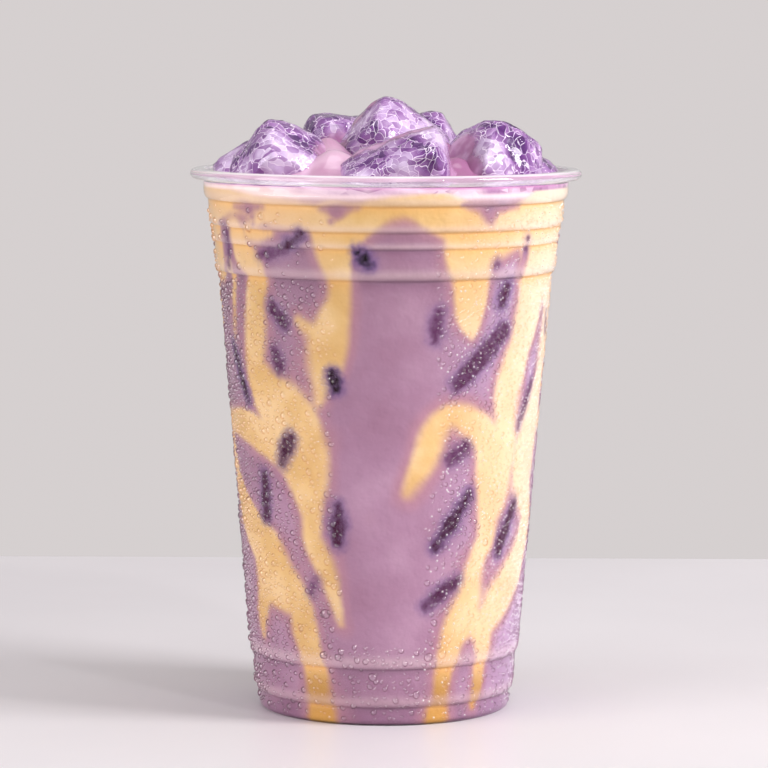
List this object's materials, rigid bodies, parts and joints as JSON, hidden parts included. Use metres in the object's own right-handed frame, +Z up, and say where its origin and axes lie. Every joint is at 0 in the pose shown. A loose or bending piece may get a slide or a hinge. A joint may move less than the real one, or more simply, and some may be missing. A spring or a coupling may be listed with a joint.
{
  "type": "iced milk tea in a clear cold cup",
  "caption": "Flanged clear cold cup filled with sauce-streaked milk tea and heaped with half-melted ice, standing on its foot ring.",
  "frame": {"origin": "centre of the ring that the cup stands on, at the surface it stands on", "axes": "+Z up the cup, -Y towards the shown front of the drink"},
  "size_m": [0.0978, 0.0978, 0.1538],
  "materials": {
    "clear_plastic": "thin clear moulded plastic, beaded with condensation",
    "milk_tea": "opaque lilac milk tea with cream-yellow sauce streaks",
    "ice": "clear violet-tinted ice, crazed inside and wet outside"
  },
  "bodies": {
    "root": {"cup": "clear_plastic", "milk_tea": "milk_tea", "ice_01": "ice", "ice_02": "ice", "ice_03": "ice", "ice_04": "ice", "ice_05": "ice", "ice_06": "ice", "ice_07": "ice", "ice_08": "ice", "ice_09": "ice", "ice_10": "ice"}
  },
  "joints": []
}
